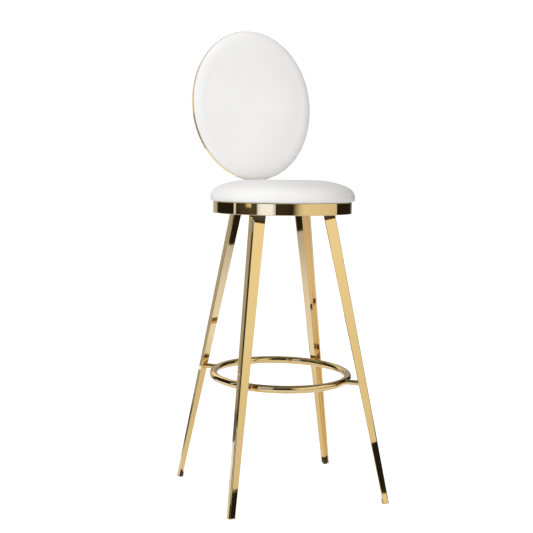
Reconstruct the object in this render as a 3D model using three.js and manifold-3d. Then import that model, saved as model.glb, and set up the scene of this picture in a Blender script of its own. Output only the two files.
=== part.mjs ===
// Bar stool with a footrest: an upholstered round seat in a polished hoop, an oval back in a metal rim
// carried by one bent strap, four tapered angle-section legs splayed outwards, and a footrest ring on
// four short stubs. Millimetres, +Z up, the stool faces -Y, the floor is Z = 0.
import * as THREE from 'three';
import { mergeVertices } from 'three/addons/utils/BufferGeometryUtils.js';
import Module from 'manifold-3d';

const wasm = await Module();
wasm.setup();

// Clearance kept between neighbouring pieces
const GAP = 0.3;

// Seat hoop: a rolled flat band
const HOOP_R = 168;
const HOOP_WALL = 3;
const HOOP_Z0 = 682;
const HOOP_Z1 = 710;
const HOOP_EDGE = 0.8;

// Flat ring welded inside the hoop, board screwed down on it, dust cover below the board
const FLANGE_Z0 = 687;
const FLANGE_T = 3;
const FLANGE_INNER_R = 98;
const BOARD_T = 10;
const BOARD_R = 163;
const COVER_R = 97;
const COVER_T = 0.9;

// Seat cushion profile: radius and height pairs above the hoop, from the roll down to the crown
const PAD_PLUG_R = 164.4;
const PAD_PROFILE = [
  [170.0, 710.4],
  [173.6, 711.3],
  [176.0, 715.4],
  [176.6, 720.2],
  [175.7, 727.2],
  [173.2, 734.2],
  [168.9, 740.2],
  [162.8, 745.0],
  [154.5, 749.4],
  [143.0, 753.2],
  [128.0, 756.2],
  [104.0, 758.7],
  [72.0, 760.2],
  [36.0, 760.9],
  [0, 761.0],
];

// Legs: tapered equal angles, the corner of the angle pointing outwards
const LEG_TOP_Z = 682.7;
const LEG_FOOT_Z = 1.5;
const LEG_WALL = 3;
const LEG_BEND = 3.4;
const LEG_FLANGE_TOP = 31;
const LEG_FLANGE_FOOT = 15.6;
const LEG_TOP_REF_Z = 682;
const LEGS = [
  { name: 'front_left', sx: -1, sy: -1, top: [104, 84], foot: [201, 208] },
  { name: 'front_right', sx: 1, sy: -1, top: [104, 84], foot: [201, 208] },
  { name: 'back_left', sx: -1, sy: 1, top: [101, 99], foot: [210, 190] },
  { name: 'back_right', sx: 1, sy: 1, top: [101, 99], foot: [210, 190] },
];

// Leg head plates, and the pan head screws that hold the board down on them
const PLATE_SIZE = 44;
const PLATE_T = 3.7;
const PLATE_OVERLAP = 3;
const SCREW_HOLE_R = 2.6;
const SCREW_SHANK_R = 2.2;
const SCREW_HEAD_R = 4.6;
const SCREW_HEAD_H = 2.4;
const SCREW_LENGTH = 12;

// Floor glides: round plugs in the inner corners of the feet, leaning with the legs
const GLIDE_R = 5.8;
const GLIDE_TOP_Z = 12;
const GLIDE_EDGE = 0.6;

// Footrest ring, level from side to side and a little lower at the front
const REST_R = 164.5;
const REST_TUBE_R = 9.2;
const REST_Z = 286.6;
const REST_TILT = 0.045;
const STUB_R = 6.2;

// Oval back, leaning backwards: local X across, local Y up the face, local Z out of the front
const BACK_A = 160;
const BACK_B = 195.2;
const BACK_LEAN = THREE.MathUtils.degToRad(9.7);
const BACK_CENTRE = [0, 225.2, 950.3];
const RIM_T = 3;
const RIM_DEPTH = 10;
const BACK_BOARD_T = 6;
const BACK_BOARD_FRONT = -2.2;
const REAR_PANEL_T = 1.5;
const BACK_CROWN = 30;
const BACK_PAD_INSET = 0.8;

// Strap between the hoop and the back
const STRAP_W = 40;
const STRAP_T = 5;
const STRAP_FOOT_Z = 684;
const STRAP_BEND_Z = 699;
const STRAP_SLOPE = 0.78;
const STRAP_TOP_V = -66;
const STRAP_SCREW_V = [-160, -125, -90];

// Colours of the named finishes
const FINISH = {
  gold: { color: 0xd9b261, metalness: 1.0, roughness: 0.18 },
  blackPaint: { color: 0x1c1c1d, metalness: 0.0, roughness: 0.5 },
  leather: { color: 0xf1f0ec, metalness: 0.0, roughness: 0.5 },
  wood: { color: 0xc49a63, metalness: 0.0, roughness: 0.7 },
  fabric: { color: 0x1b1b1c, metalness: 0.0, roughness: 0.9 },
  plastic: { color: 0x141414, metalness: 0.0, roughness: 0.45 },
  steel: { color: 0x9d9fa2, metalness: 1.0, roughness: 0.35 },
};

const stool = new THREE.Group();
stool.name = 'bar_stool';

function addPiece(name, geometry, finish) {
  const mesh = new THREE.Mesh(geometry, new THREE.MeshStandardMaterial(FINISH[finish]));
  mesh.name = name;
  mesh.material.name = finish;
  stool.add(mesh);
  return mesh;
}

function toManifold(geometry) {
  const bare = geometry.clone();
  bare.deleteAttribute('normal');
  bare.deleteAttribute('uv');
  const merged = mergeVertices(bare, 1e-4);
  return new wasm.Manifold(new wasm.Mesh({
    numProp: 3,
    vertProperties: new Float32Array(merged.attributes.position.array),
    triVerts: new Uint32Array(merged.index.array),
  }));
}

function fromManifold(solid) {
  const mesh = solid.getMesh();
  const geometry = new THREE.BufferGeometry();
  geometry.setAttribute('position', new THREE.BufferAttribute(new Float32Array(mesh.vertProperties), 3));
  geometry.setIndex(new THREE.BufferAttribute(new Uint32Array(mesh.triVerts), 1));
  geometry.computeVertexNormals();
  return geometry;
}

// Closed solid of revolution about Z from [radius, height] pairs
function turned(profile, segments) {
  const points = profile.map(([r, z]) => new THREE.Vector2(r, z));
  const geometry = new THREE.LatheGeometry(points, segments);
  geometry.rotateX(Math.PI / 2);
  return geometry;
}

function disc(radius, segments) {
  const shape = new THREE.Shape();
  shape.setFromPoints(ringPoints(radius, radius, segments));
  return shape;
}

function ringPoints(a, b, segments) {
  const points = [];
  for (let i = 0; i < segments; i += 1) {
    const t = (2 * Math.PI * i) / segments;
    points.push(new THREE.Vector2(a * Math.cos(t), b * Math.sin(t)));
  }
  return points;
}

function cutHole(shape, x, y, radius, segments) {
  const points = ringPoints(radius, radius, segments).map((p) => new THREE.Vector2(p.x + x, p.y + y));
  shape.holes.push(new THREE.Path(points));
}

function plate(shape, z0, thickness) {
  const geometry = new THREE.ExtrudeGeometry(shape, { depth: thickness, bevelEnabled: false });
  geometry.translate(0, 0, z0);
  return geometry;
}

// Straight-sided solid between two outlines with the same number of corners
function loft(lower, upper, z0, z1) {
  const n = lower.length;
  const positions = [];
  lower.forEach((p) => positions.push(p.x, p.y, z0));
  upper.forEach((p) => positions.push(p.x, p.y, z1));
  const index = [];
  for (let i = 0; i < n; i += 1) {
    const j = (i + 1) % n;
    index.push(i, j, n + j);
    index.push(i, n + j, n + i);
  }
  THREE.ShapeUtils.triangulateShape(lower, []).forEach(([a, b, c]) => {
    index.push(c, b, a);
    index.push(n + a, n + b, n + c);
  });
  const geometry = new THREE.BufferGeometry();
  geometry.setAttribute('position', new THREE.Float32BufferAttribute(positions, 3));
  geometry.setIndex(index);
  geometry.computeVertexNormals();
  return geometry;
}

// Outer corner of a leg at a height, and its flange width there
function legAt(leg, z) {
  const t = z / LEG_TOP_REF_Z;
  return {
    x: leg.sx * (leg.foot[0] + (leg.top[0] - leg.foot[0]) * t),
    y: leg.sy * (leg.foot[1] + (leg.top[1] - leg.foot[1]) * t),
    w: LEG_FLANGE_FOOT + (LEG_FLANGE_TOP - LEG_FLANGE_FOOT) * t,
  };
}

// Angle section with a rounded outer corner, drawn in the corner's own quadrant and then mirrored
function angleOutline(leg, z, wall, bend, outset) {
  const { x, y, w } = legAt(leg, z);
  const corner = [];
  const steps = 3;
  for (let i = 0; i <= steps; i += 1) {
    const t = (Math.PI / 2) * (1 - i / steps);
    corner.push([bend * (1 - Math.cos(t)) - outset, bend * (1 - Math.sin(t)) - outset]);
  }
  const outline = [
    [w, -outset],
    [w, wall],
    [wall, wall],
    [wall, w],
    [-outset, w],
    ...corner.reverse(),
  ];
  const points = outline.map(([u, v]) => new THREE.Vector2(x - leg.sx * u, y - leg.sy * v));
  return THREE.ShapeUtils.isClockWise(points) ? points.reverse() : points;
}

function legSolid(leg, wall, bend, outset) {
  const lower = angleOutline(leg, LEG_FOOT_Z, wall, bend, outset);
  const upper = angleOutline(leg, LEG_TOP_Z, wall, bend, outset);
  return loft(lower, upper, LEG_FOOT_Z, LEG_TOP_Z);
}

// Pan head screw with its head below z and its shank running up
function screw(z) {
  const head = SCREW_HEAD_H;
  return turned([
    [0, z - head],
    [SCREW_HEAD_R * 0.55, z - head],
    [SCREW_HEAD_R * 0.88, z - head * 0.72],
    [SCREW_HEAD_R, z - head * 0.25],
    [SCREW_HEAD_R, z],
    [SCREW_SHANK_R, z],
    [SCREW_SHANK_R, z + SCREW_LENGTH - 1.5],
    [0, z + SCREW_LENGTH],
  ], 12);
}

// ---- Seat ----
const e = HOOP_EDGE;
addPiece('seat_hoop', turned([
  [HOOP_R - HOOP_WALL, HOOP_Z0 + e],
  [HOOP_R - HOOP_WALL + e, HOOP_Z0],
  [HOOP_R - e, HOOP_Z0],
  [HOOP_R, HOOP_Z0 + e],
  [HOOP_R, HOOP_Z1 - e],
  [HOOP_R - e, HOOP_Z1],
  [HOOP_R - HOOP_WALL + e, HOOP_Z1],
  [HOOP_R - HOOP_WALL, HOOP_Z1 - e],
  [HOOP_R - HOOP_WALL, HOOP_Z0 + e],
], 72), 'gold');

// The two screws of a leg head sit inside the angle, one beside each flange, clear of the section below
const plateBottom = FLANGE_Z0 - PLATE_T;
const heads = LEGS.map((leg) => {
  const at = legAt(leg, LEG_TOP_Z);
  const cx = at.x - leg.sx * (PLATE_SIZE / 2 - PLATE_OVERLAP);
  const cy = at.y - leg.sy * (PLATE_SIZE / 2 - PLATE_OVERLAP);
  const near = at.w * 0.42;
  const far = at.w * 0.94;
  return {
    leg,
    cx,
    cy,
    screws: [
      [at.x - leg.sx * near, at.y - leg.sy * far],
      [at.x - leg.sx * far, at.y - leg.sy * near],
    ],
  };
});

const flange = disc(HOOP_R - HOOP_WALL - GAP, 72);
cutHole(flange, 0, 0, FLANGE_INNER_R, 56);
const board = disc(BOARD_R, 64);
heads.forEach((head) => {
  head.screws.forEach(([x, y]) => {
    cutHole(flange, x, y, SCREW_HOLE_R, 12);
    cutHole(board, x, y, SCREW_HOLE_R, 12);
  });
});
const boardZ = FLANGE_Z0 + FLANGE_T + GAP;
const padZ = boardZ + BOARD_T + GAP;
addPiece('seat_flange_ring', plate(flange, FLANGE_Z0, FLANGE_T), 'blackPaint');
addPiece('seat_board', plate(board, boardZ, BOARD_T), 'wood');
addPiece('seat_dust_cover', plate(disc(COVER_R, 48), boardZ - GAP - COVER_T, COVER_T), 'fabric');
addPiece('seat_pad', turned([[0, padZ], [PAD_PLUG_R, padZ], [PAD_PLUG_R, 710.4], ...PAD_PROFILE], 56), 'leather');

// ---- Legs, head plates, screws and glides ----
heads.forEach((head) => {
  const { leg } = head;
  addPiece(`leg_${leg.name}`, legSolid(leg, LEG_WALL, LEG_BEND, 0), 'gold');

  const h = PLATE_SIZE / 2;
  const outline = new THREE.Shape([
    new THREE.Vector2(head.cx - h, head.cy - h),
    new THREE.Vector2(head.cx + h, head.cy - h),
    new THREE.Vector2(head.cx + h, head.cy + h),
    new THREE.Vector2(head.cx - h, head.cy + h),
  ]);
  head.screws.forEach(([x, y]) => cutHole(outline, x, y, SCREW_HOLE_R, 12));
  addPiece(`leg_plate_${leg.name}`, plate(outline, plateBottom, PLATE_T - GAP), 'gold');

  head.screws.forEach(([x, y], i) => {
    const body = screw(plateBottom - GAP);
    body.translate(x, y, 0);
    addPiece(`seat_screw_${leg.name}_${i + 1}`, body, 'steel');
  });

  const foot = legAt(leg, 0);
  const inset = LEG_WALL + GAP + GLIDE_R;
  const glide = turned([
    [0, 0],
    [GLIDE_R - GLIDE_EDGE, 0],
    [GLIDE_R, GLIDE_EDGE],
    [GLIDE_R, GLIDE_TOP_Z - GLIDE_EDGE],
    [GLIDE_R - GLIDE_EDGE, GLIDE_TOP_Z],
    [0, GLIDE_TOP_Z],
  ], 24);
  const runX = leg.sx * (leg.top[0] - leg.foot[0]) / LEG_TOP_REF_Z;
  const runY = leg.sy * (leg.top[1] - leg.foot[1]) / LEG_TOP_REF_Z;
  glide.applyMatrix4(new THREE.Matrix4().makeShear(0, 0, 0, 0, runX, runY));
  glide.translate(foot.x - leg.sx * inset, foot.y - leg.sy * inset, 0);
  addPiece(`glide_${leg.name}`, glide, 'plastic');
});

// ---- Footrest ring and its stubs ----
const restTilt = new THREE.Matrix4().makeRotationX(Math.atan(REST_TILT));
const restPlace = new THREE.Matrix4().makeTranslation(0, 0, REST_Z).multiply(restTilt);
const ring = new THREE.TorusGeometry(REST_R, REST_TUBE_R, 12, 64);
ring.applyMatrix4(restPlace);
addPiece('footrest_ring', ring, 'gold');

const ringClear = new THREE.TorusGeometry(REST_R, REST_TUBE_R + GAP, 20, 96);
ringClear.applyMatrix4(restPlace);
const ringClearSolid = toManifold(ringClear);

LEGS.forEach((leg) => {
  const at = legAt(leg, REST_Z + REST_TILT * leg.sy * REST_R * 0.72);
  const angle = Math.atan2(at.y, at.x);
  const start = new THREE.Vector3(Math.cos(angle), Math.sin(angle), 0).multiplyScalar(REST_R + 2);
  start.applyMatrix4(restPlace);
  const end = new THREE.Vector3(at.x - leg.sx * 2, at.y - leg.sy * 2, start.z);
  const length = end.distanceTo(start);
  const rod = new THREE.CylinderGeometry(STUB_R, STUB_R, length, 18);
  rod.applyQuaternion(new THREE.Quaternion().setFromUnitVectors(
    new THREE.Vector3(0, 1, 0),
    end.clone().sub(start).normalize(),
  ));
  rod.translate(...start.clone().add(end).multiplyScalar(0.5).toArray());
  const keepOut = toManifold(legSolid(leg, LEG_WALL + GAP, 0.5, 8));
  const stub = toManifold(rod).subtract(ringClearSolid).subtract(keepOut);
  addPiece(`footrest_stub_${leg.name}`, fromManifold(stub), 'gold');
});

// ---- Back ----
const backBasis = new THREE.Matrix4().makeBasis(
  new THREE.Vector3(1, 0, 0),
  new THREE.Vector3(0, Math.sin(BACK_LEAN), Math.cos(BACK_LEAN)),
  new THREE.Vector3(0, -Math.cos(BACK_LEAN), Math.sin(BACK_LEAN)),
);
const backPlace = new THREE.Matrix4().makeTranslation(...BACK_CENTRE).multiply(backBasis);

// Closed solid whose cross-section, [inset from the outer oval, local Z], is carried round the oval
function ovalSweep(section, segments, closed) {
  const positions = [];
  const index = [];
  const rows = section.length;
  for (let i = 0; i < segments; i += 1) {
    const t = (2 * Math.PI * i) / segments;
    section.forEach(([inset, z]) => {
      positions.push((BACK_A - inset) * Math.cos(t), (BACK_B - inset) * Math.sin(t), z);
    });
  }
  const last = closed ? rows : rows - 1;
  for (let i = 0; i < segments; i += 1) {
    const a = i * rows;
    const b = ((i + 1) % segments) * rows;
    for (let j = 0; j < last; j += 1) {
      const k = (j + 1) % rows;
      index.push(a + j, b + j, b + k);
      index.push(a + j, b + k, a + k);
    }
  }
  if (!closed) {
    const bottom = positions.length / 3;
    positions.push(0, 0, section[0][1]);
    const top = bottom + 1;
    positions.push(0, 0, section[rows - 1][1]);
    for (let i = 0; i < segments; i += 1) {
      const a = i * rows;
      const b = ((i + 1) % segments) * rows;
      index.push(bottom, b, a);
      index.push(top, a + rows - 1, b + rows - 1);
    }
  }
  const geometry = new THREE.BufferGeometry();
  geometry.setAttribute('position', new THREE.Float32BufferAttribute(positions, 3));
  geometry.setIndex(index);
  geometry.applyMatrix4(backPlace);
  geometry.computeVertexNormals();
  return geometry;
}

addPiece('back_rim', ovalSweep([
  [0.6, -RIM_DEPTH],
  [0, -RIM_DEPTH + 0.6],
  [0, -0.6],
  [0.6, 0],
  [RIM_T - 0.6, 0],
  [RIM_T, -0.6],
  [RIM_T, -RIM_DEPTH + 0.6],
  [RIM_T - 0.6, -RIM_DEPTH],
], 72, true), 'gold');

const boardBack = BACK_BOARD_FRONT - BACK_BOARD_T;
const innerInset = RIM_T + GAP;
const screwHoles = STRAP_SCREW_V.map((v) => [0, v]);

function ovalPlate(inset, z0, thickness, holeRadius) {
  const shape = new THREE.Shape(ringPoints(BACK_A - inset, BACK_B - inset, 60));
  screwHoles.forEach(([x, v]) => cutHole(shape, x, v, holeRadius, 12));
  const geometry = plate(shape, z0, thickness);
  geometry.applyMatrix4(backPlace);
  return geometry;
}

addPiece('back_board', ovalPlate(innerInset, boardBack, BACK_BOARD_T, SCREW_HOLE_R), 'wood');
addPiece('back_rear_panel', ovalPlate(
  innerInset,
  boardBack - GAP - REAR_PANEL_T,
  REAR_PANEL_T,
  SCREW_HOLE_R,
), 'leather');

// Crowned cushion: it swells over the front of the rim, with a full roll there, then a long flat crown
const crown = [];
const crownRows = 11;
for (let i = 0; i < crownRows; i += 1) {
  const t = (i / crownRows) * (Math.PI / 2);
  const reach = 1 - Math.cos(t) ** 0.9;
  crown.push([BACK_PAD_INSET + reach * (BACK_A - BACK_PAD_INSET), BACK_CROWN * Math.sin(t) ** 0.78]);
}
addPiece('back_pad', ovalSweep([
  [innerInset, BACK_BOARD_FRONT + GAP],
  [innerInset, GAP],
  ...crown.map(([inset, z]) => [inset, Math.max(z, GAP)]),
  [BACK_A - 4, BACK_CROWN],
], 60, false), 'leather');

// ---- Strap: side profile drawn in Y-Z, extruded across, seated on the hoop and screwed to the back ----
const lean = Math.tan(BACK_LEAN);
const rearFace = new THREE.Vector3(0, 0, -RIM_DEPTH - GAP).applyMatrix4(backPlace);
const upperY = (z) => rearFace.y + (z - rearFace.z) * lean;
const lowerY = (z) => HOOP_R + GAP - 2 + (z - STRAP_BEND_Z) * STRAP_SLOPE;
const meetZ = (rearFace.y - rearFace.z * lean - (HOOP_R + GAP - 2) + STRAP_BEND_Z * STRAP_SLOPE)
  / (STRAP_SLOPE - lean);
const strapTop = new THREE.Vector3(0, STRAP_TOP_V, -RIM_DEPTH - GAP).applyMatrix4(backPlace);
const spine = [
  [HOOP_R + GAP - 2, STRAP_FOOT_Z],
  [HOOP_R + GAP - 2, STRAP_BEND_Z - 4],
  [lowerY(STRAP_BEND_Z + 4), STRAP_BEND_Z + 4],
  [lowerY(meetZ - 5), meetZ - 5],
  [upperY(meetZ + 5), meetZ + 5],
  [strapTop.y, strapTop.z],
];

// Offsets the spine backwards by the strap thickness, square to each run
function offsetSpine(points, distance) {
  return points.map((p, i) => {
    const a = points[Math.max(i - 1, 0)];
    const b = points[Math.min(i + 1, points.length - 1)];
    const dy = b[0] - a[0];
    const dz = b[1] - a[1];
    const length = Math.hypot(dy, dz);
    return [p[0] + (dz / length) * distance, p[1] - (dy / length) * distance];
  });
}

const strapRear = offsetSpine(spine, STRAP_T);
strapRear[0] = [spine[0][0] + STRAP_T + 1, STRAP_FOOT_Z];
strapRear[1] = [spine[1][0] + STRAP_T + 1, STRAP_BEND_Z - 5];
const strapShape = new THREE.Shape([...spine, ...strapRear.reverse()].map(([y, z]) => new THREE.Vector2(y, z)));
const strapBar = new THREE.ExtrudeGeometry(strapShape, { depth: STRAP_W, bevelEnabled: false });
strapBar.applyMatrix4(new THREE.Matrix4().makeBasis(
  new THREE.Vector3(0, 1, 0),
  new THREE.Vector3(0, 0, 1),
  new THREE.Vector3(1, 0, 0),
));
strapBar.translate(-STRAP_W / 2, 0, 0);
const hoopClear = new THREE.CylinderGeometry(HOOP_R + GAP, HOOP_R + GAP, 60, 160);
hoopClear.rotateX(Math.PI / 2);
hoopClear.translate(0, 0, HOOP_Z1 - 30 + GAP);
let strap = toManifold(strapBar).subtract(toManifold(hoopClear));

// Rounded upper end: keep only what lies inside a tongue-shaped outline seen square to the back
const tongue = new THREE.Shape();
tongue.moveTo(-STRAP_W / 2 - 1, -320);
tongue.lineTo(STRAP_W / 2 + 1, -320);
tongue.lineTo(STRAP_W / 2 + 1, STRAP_TOP_V - STRAP_W / 2 - 1);
tongue.absarc(0, STRAP_TOP_V - STRAP_W / 2, STRAP_W / 2, 0, Math.PI, false);
tongue.lineTo(-STRAP_W / 2 - 1, STRAP_TOP_V - STRAP_W / 2 - 1);
const tongueBar = new THREE.ExtrudeGeometry(tongue, { depth: 200, bevelEnabled: false, curveSegments: 8 });
tongueBar.translate(0, 0, -100);
tongueBar.applyMatrix4(backPlace);
strap = strap.intersect(toManifold(tongueBar));

function acrossBack(radius, v, depth) {
  const drill = new THREE.CylinderGeometry(radius, radius, depth, 12);
  drill.rotateX(Math.PI / 2);
  drill.translate(0, v, -RIM_DEPTH);
  drill.applyMatrix4(backPlace);
  return drill;
}

STRAP_SCREW_V.forEach((v) => {
  strap = strap.subtract(toManifold(acrossBack(SCREW_HOLE_R, v, 30)));
});
addPiece('back_strap', fromManifold(strap), 'gold');

STRAP_SCREW_V.forEach((v, i) => {
  const body = screw(0);
  body.translate(0, v, -RIM_DEPTH - STRAP_T - 2 * GAP);
  body.applyMatrix4(backPlace);
  addPiece(`back_screw_${i + 1}`, body, 'steel');
});

// Centre the whole stool on its own footprint
const extent = new THREE.Box3().setFromObject(stool);
const middle = extent.getCenter(new THREE.Vector3());
stool.children.forEach((mesh) => mesh.geometry.translate(0, -middle.y, 0));

export default stool;
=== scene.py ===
"""Bar stool with a footrest: the visual model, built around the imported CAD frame."""
import math

import bpy
import bmesh
import numpy as np
from mathutils import Matrix, Vector, noise
from mathutils.bvhtree import BVHTree


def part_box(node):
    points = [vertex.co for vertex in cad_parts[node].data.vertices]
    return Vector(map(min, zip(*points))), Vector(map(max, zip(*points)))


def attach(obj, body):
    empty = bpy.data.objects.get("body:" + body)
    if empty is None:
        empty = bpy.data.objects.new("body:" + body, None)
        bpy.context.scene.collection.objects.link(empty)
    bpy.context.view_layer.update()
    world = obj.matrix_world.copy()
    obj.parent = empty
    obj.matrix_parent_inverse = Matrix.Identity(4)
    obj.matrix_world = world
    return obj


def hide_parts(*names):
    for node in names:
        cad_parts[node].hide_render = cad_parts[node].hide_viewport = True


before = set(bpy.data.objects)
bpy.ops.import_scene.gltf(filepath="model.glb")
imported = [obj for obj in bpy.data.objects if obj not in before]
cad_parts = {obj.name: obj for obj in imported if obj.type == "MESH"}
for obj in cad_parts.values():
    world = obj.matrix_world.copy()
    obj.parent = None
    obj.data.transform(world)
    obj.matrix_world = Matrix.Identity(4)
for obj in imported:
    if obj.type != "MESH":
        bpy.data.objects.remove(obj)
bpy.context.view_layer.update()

MM = 0.001
HOLD = 0.15 * MM        # distance of the support loop beside every rounded edge
HOOP_WALL = 3 * MM
LEG_WALL = 3 * MM
RIM_WALL = 3 * MM
CORNERS = ("front_left", "front_right", "back_left", "back_right")

hoop_lo, hoop_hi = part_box("seat_hoop")
hoop_centre = (hoop_lo + hoop_hi) / 2
AXIS = Vector((hoop_centre.x, hoop_centre.y, 0))
HOOP_R = (hoop_hi.x - hoop_lo.x) / 2


def node_points(node):
    return np.array([v.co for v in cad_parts[node].data.vertices], float)


def plane_of(node):
    """The points of a flat node, their middle, and the direction square to them."""
    p = node_points(node)
    mid = p.mean(0)
    return p, mid, np.linalg.svd(p - mid, full_matrices=False)[2][2]


def round_axis(radius, bearing, z=0.0):
    return AXIS.x + radius * math.cos(bearing), AXIS.y + radius * math.sin(bearing), z


# ---------------------------------------------------------------- mesh helpers

def make_mesh(name, verts, faces, sharp=38):
    """A mesh with outward normals, smooth but for edges sharper than that angle."""
    mesh = bpy.data.meshes.new(name)
    bm = bmesh.new()
    points = [bm.verts.new(v) for v in verts]
    for face in faces:
        bm.faces.new([points[i] for i in face])
    bmesh.ops.recalc_face_normals(bm, faces=bm.faces)
    bm.to_mesh(mesh)
    bm.free()
    mesh.shade_smooth()
    mesh.set_sharp_from_angle(angle=math.radians(sharp))
    return mesh


def add_object(name, data):
    obj = bpy.data.objects.new(name, data)
    bpy.context.scene.collection.objects.link(obj)
    return obj


def evaluated(obj):
    """A mesh of the object as its modifiers leave it."""
    return bpy.data.meshes.new_from_object(obj.evaluated_get(bpy.context.evaluated_depsgraph_get()))


def piece(name, shape, finish, replaces=(), sharp=38, place=None):
    """A piece that rides on the stool, from vertices and faces or from a mesh that is ready.
    Finish is a material with its slot."""
    mesh = make_mesh(name, *shape, sharp) if isinstance(shape, tuple) else shape
    material, slot = finish
    obj = add_object(name, mesh)
    if not mesh.materials:
        mesh.materials.append(material)
    if place is not None:
        obj.matrix_world = place
    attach(obj, "root")
    if replaces:
        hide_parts(*replaces)
    return obj


def join_rings(a, b):
    """Quads between two closed rings of vertex numbers, or a fan where one is a single point."""
    if len(a) == 1 and len(b) == 1:
        return []
    if len(a) == 1:
        return [(a[0], b[i], b[(i + 1) % len(b)]) for i in range(len(b))]
    if len(b) == 1:
        return [(b[0], a[(i + 1) % len(a)], a[i]) for i in range(len(a))]
    n = len(a)
    return [(a[i], a[(i + 1) % n], b[(i + 1) % n], b[i]) for i in range(n)]


def loft(rings, closed=False, caps=True):
    """Vertices and faces of a skin over rings of points; open ends are capped."""
    verts, faces, rows = [], [], []
    for ring in rings:
        rows.append(list(range(len(verts), len(verts) + len(ring))))
        verts.extend(tuple(p) for p in ring)
    for a, b in zip(rows, rows[1:] + ([rows[0]] if closed else [])):
        faces.extend(join_rings(a, b))
    if caps and not closed:
        for row in (rows[0], rows[-1]):
            if len(row) > 1:
                faces.append(tuple(row))
    return verts, faces


def circle(radius, n, centre=(0, 0), z=0.0):
    return [
        (centre[0] + radius * math.cos(2 * math.pi * i / n),
         centre[1] + radius * math.sin(2 * math.pi * i / n), z)
        for i in range(n)
    ]


def turned(radius, z, n, centre=(0.0, 0.0)):
    """A circle of points, or a single point where it has no radius."""
    return [(*centre, z)] if radius < 1e-7 else circle(radius, n, centre, z)


def lathe(profile, n, centre=(0.0, 0.0), closed=False):
    """Skin of a profile of radius and height pairs turned about Z."""
    return loft([turned(r, z, n, centre) for r, z in profile], closed, caps=False)


def fillet(points, radii, steps=5, closed=True, hold=HOLD):
    """The outline with each corner rounded, and a support point beside each end of each arc."""
    out, n = [], len(points)
    radii = radii if hasattr(radii, "__len__") else [radii] * n
    for i, (p, radius) in enumerate(zip(points, radii)):
        p = Vector(p)
        if not closed and i in (0, n - 1):
            out.append(tuple(p))
            continue
        a, b = Vector(points[i - 1]) - p, Vector(points[(i + 1) % n]) - p
        room = 0.49 * min(a.length, b.length)
        a.normalize()
        b.normalize()
        half = a.angle(b) / 2
        d = min(radius / math.tan(half), room)
        radius = d * math.tan(half)
        mid = p + (a + b).normalized() * (radius / math.sin(half))
        u, v = (p + a * d - mid) / radius, (p + b * d - mid) / radius
        turn = u.angle(v)
        extra = min(hold, 0.4 * max(room / 0.49 - d, 0))
        out.append(tuple(p + a * (d + extra)))
        for k in range(steps + 1):
            t = k / steps
            out.append(tuple(
                mid + radius * (u * math.sin((1 - t) * turn) + v * math.sin(t * turn)) / math.sin(turn)
            ))
        out.append(tuple(p + b * (d + extra)))
    return out


def tube(path, radius, sides=10, closed=True, ripple=0.0):
    """Skin of a round bead along a path of points, thicker and thinner by ripple."""
    pts = [Vector(p) for p in path]
    n, rings, normal = len(pts), [], None
    for i, p in enumerate(pts):
        ahead = pts[(i + 1) % n] if closed or i < n - 1 else p
        behind = pts[i - 1] if closed or i > 0 else p
        t = (ahead - behind).normalized()
        if normal is None:
            normal = t.orthogonal().normalized()
        normal = (normal - t * normal.dot(t)).normalized()
        side = t.cross(normal)
        r = radius * (1 + ripple * math.sin(i * 2.1) + ripple * noise.noise(p * 900))
        rings.append([
            p + r * (math.cos(2 * math.pi * k / sides) * normal + math.sin(2 * math.pi * k / sides) * side)
            for k in range(sides)
        ])
    if closed:          # turn the last rings back so that the seam closes without a twist
        first, last = rings[0], rings[-1]
        shift = min(range(sides), key=lambda s: sum(
            (first[k] - last[(k + s) % sides]).length for k in range(sides)))
        verts, faces = loft(rings, closed=False, caps=False)
        base = (n - 1) * sides
        for k in range(sides):
            a, b = base + (k + shift) % sides, base + (k + 1 + shift) % sides
            faces.append((a, b, (k + 1) % sides, k))
        return verts, faces
    return loft(rings)


def smoothstep(x):
    x = min(max(x, 0.0), 1.0)
    return x * x * (3 - 2 * x)


def through(points, count):
    """count points on a smooth curve through the given pairs, evenly spaced along it."""
    p = np.array(points, float)
    gaps = np.sqrt(np.maximum(np.linalg.norm(np.diff(p, axis=0), axis=1), 1e-9))
    knots = np.concatenate([[0], np.cumsum(gaps)])
    p = np.vstack([2 * p[0] - p[1], p, 2 * p[-1] - p[-2]])
    knots = np.concatenate([[-gaps[0]], knots, [knots[-1] + gaps[-1]]])
    fine = []
    for i in range(1, len(p) - 2):
        t0, t1, t2, t3 = knots[i - 1:i + 3]
        for t in np.linspace(t1, t2, 24, endpoint=i == len(p) - 3):
            a1 = (t1 - t) / (t1 - t0) * p[i - 1] + (t - t0) / (t1 - t0) * p[i]
            a2 = (t2 - t) / (t2 - t1) * p[i] + (t - t1) / (t2 - t1) * p[i + 1]
            a3 = (t3 - t) / (t3 - t2) * p[i + 1] + (t - t2) / (t3 - t2) * p[i + 2]
            b1 = (t2 - t) / (t2 - t0) * a1 + (t - t0) / (t2 - t0) * a2
            b2 = (t3 - t) / (t3 - t1) * a2 + (t - t1) / (t3 - t1) * a3
            fine.append((t2 - t) / (t2 - t1) * b1 + (t - t1) / (t2 - t1) * b2)
    fine = np.array(fine)
    along = np.concatenate([[0], np.cumsum(np.linalg.norm(np.diff(fine, axis=0), axis=1))])
    at = np.linspace(0, along[-1], count)
    return [tuple(np.interp(at, along, fine[:, k])[i] for k in (0, 1)) for i in range(count)]


# ------------------------------------------------------------------- materials

def add_node(tree, kind, links=None, **values):
    """A shader node with these sockets linked and those set."""
    node = tree.nodes.new("ShaderNode" + kind)
    for key, value in values.items():
        node.inputs[key.replace("_", " ")].default_value = value
    for key, source in (links or {}).items():
        tree.links.new(source, node.inputs[key])
    return node


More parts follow.
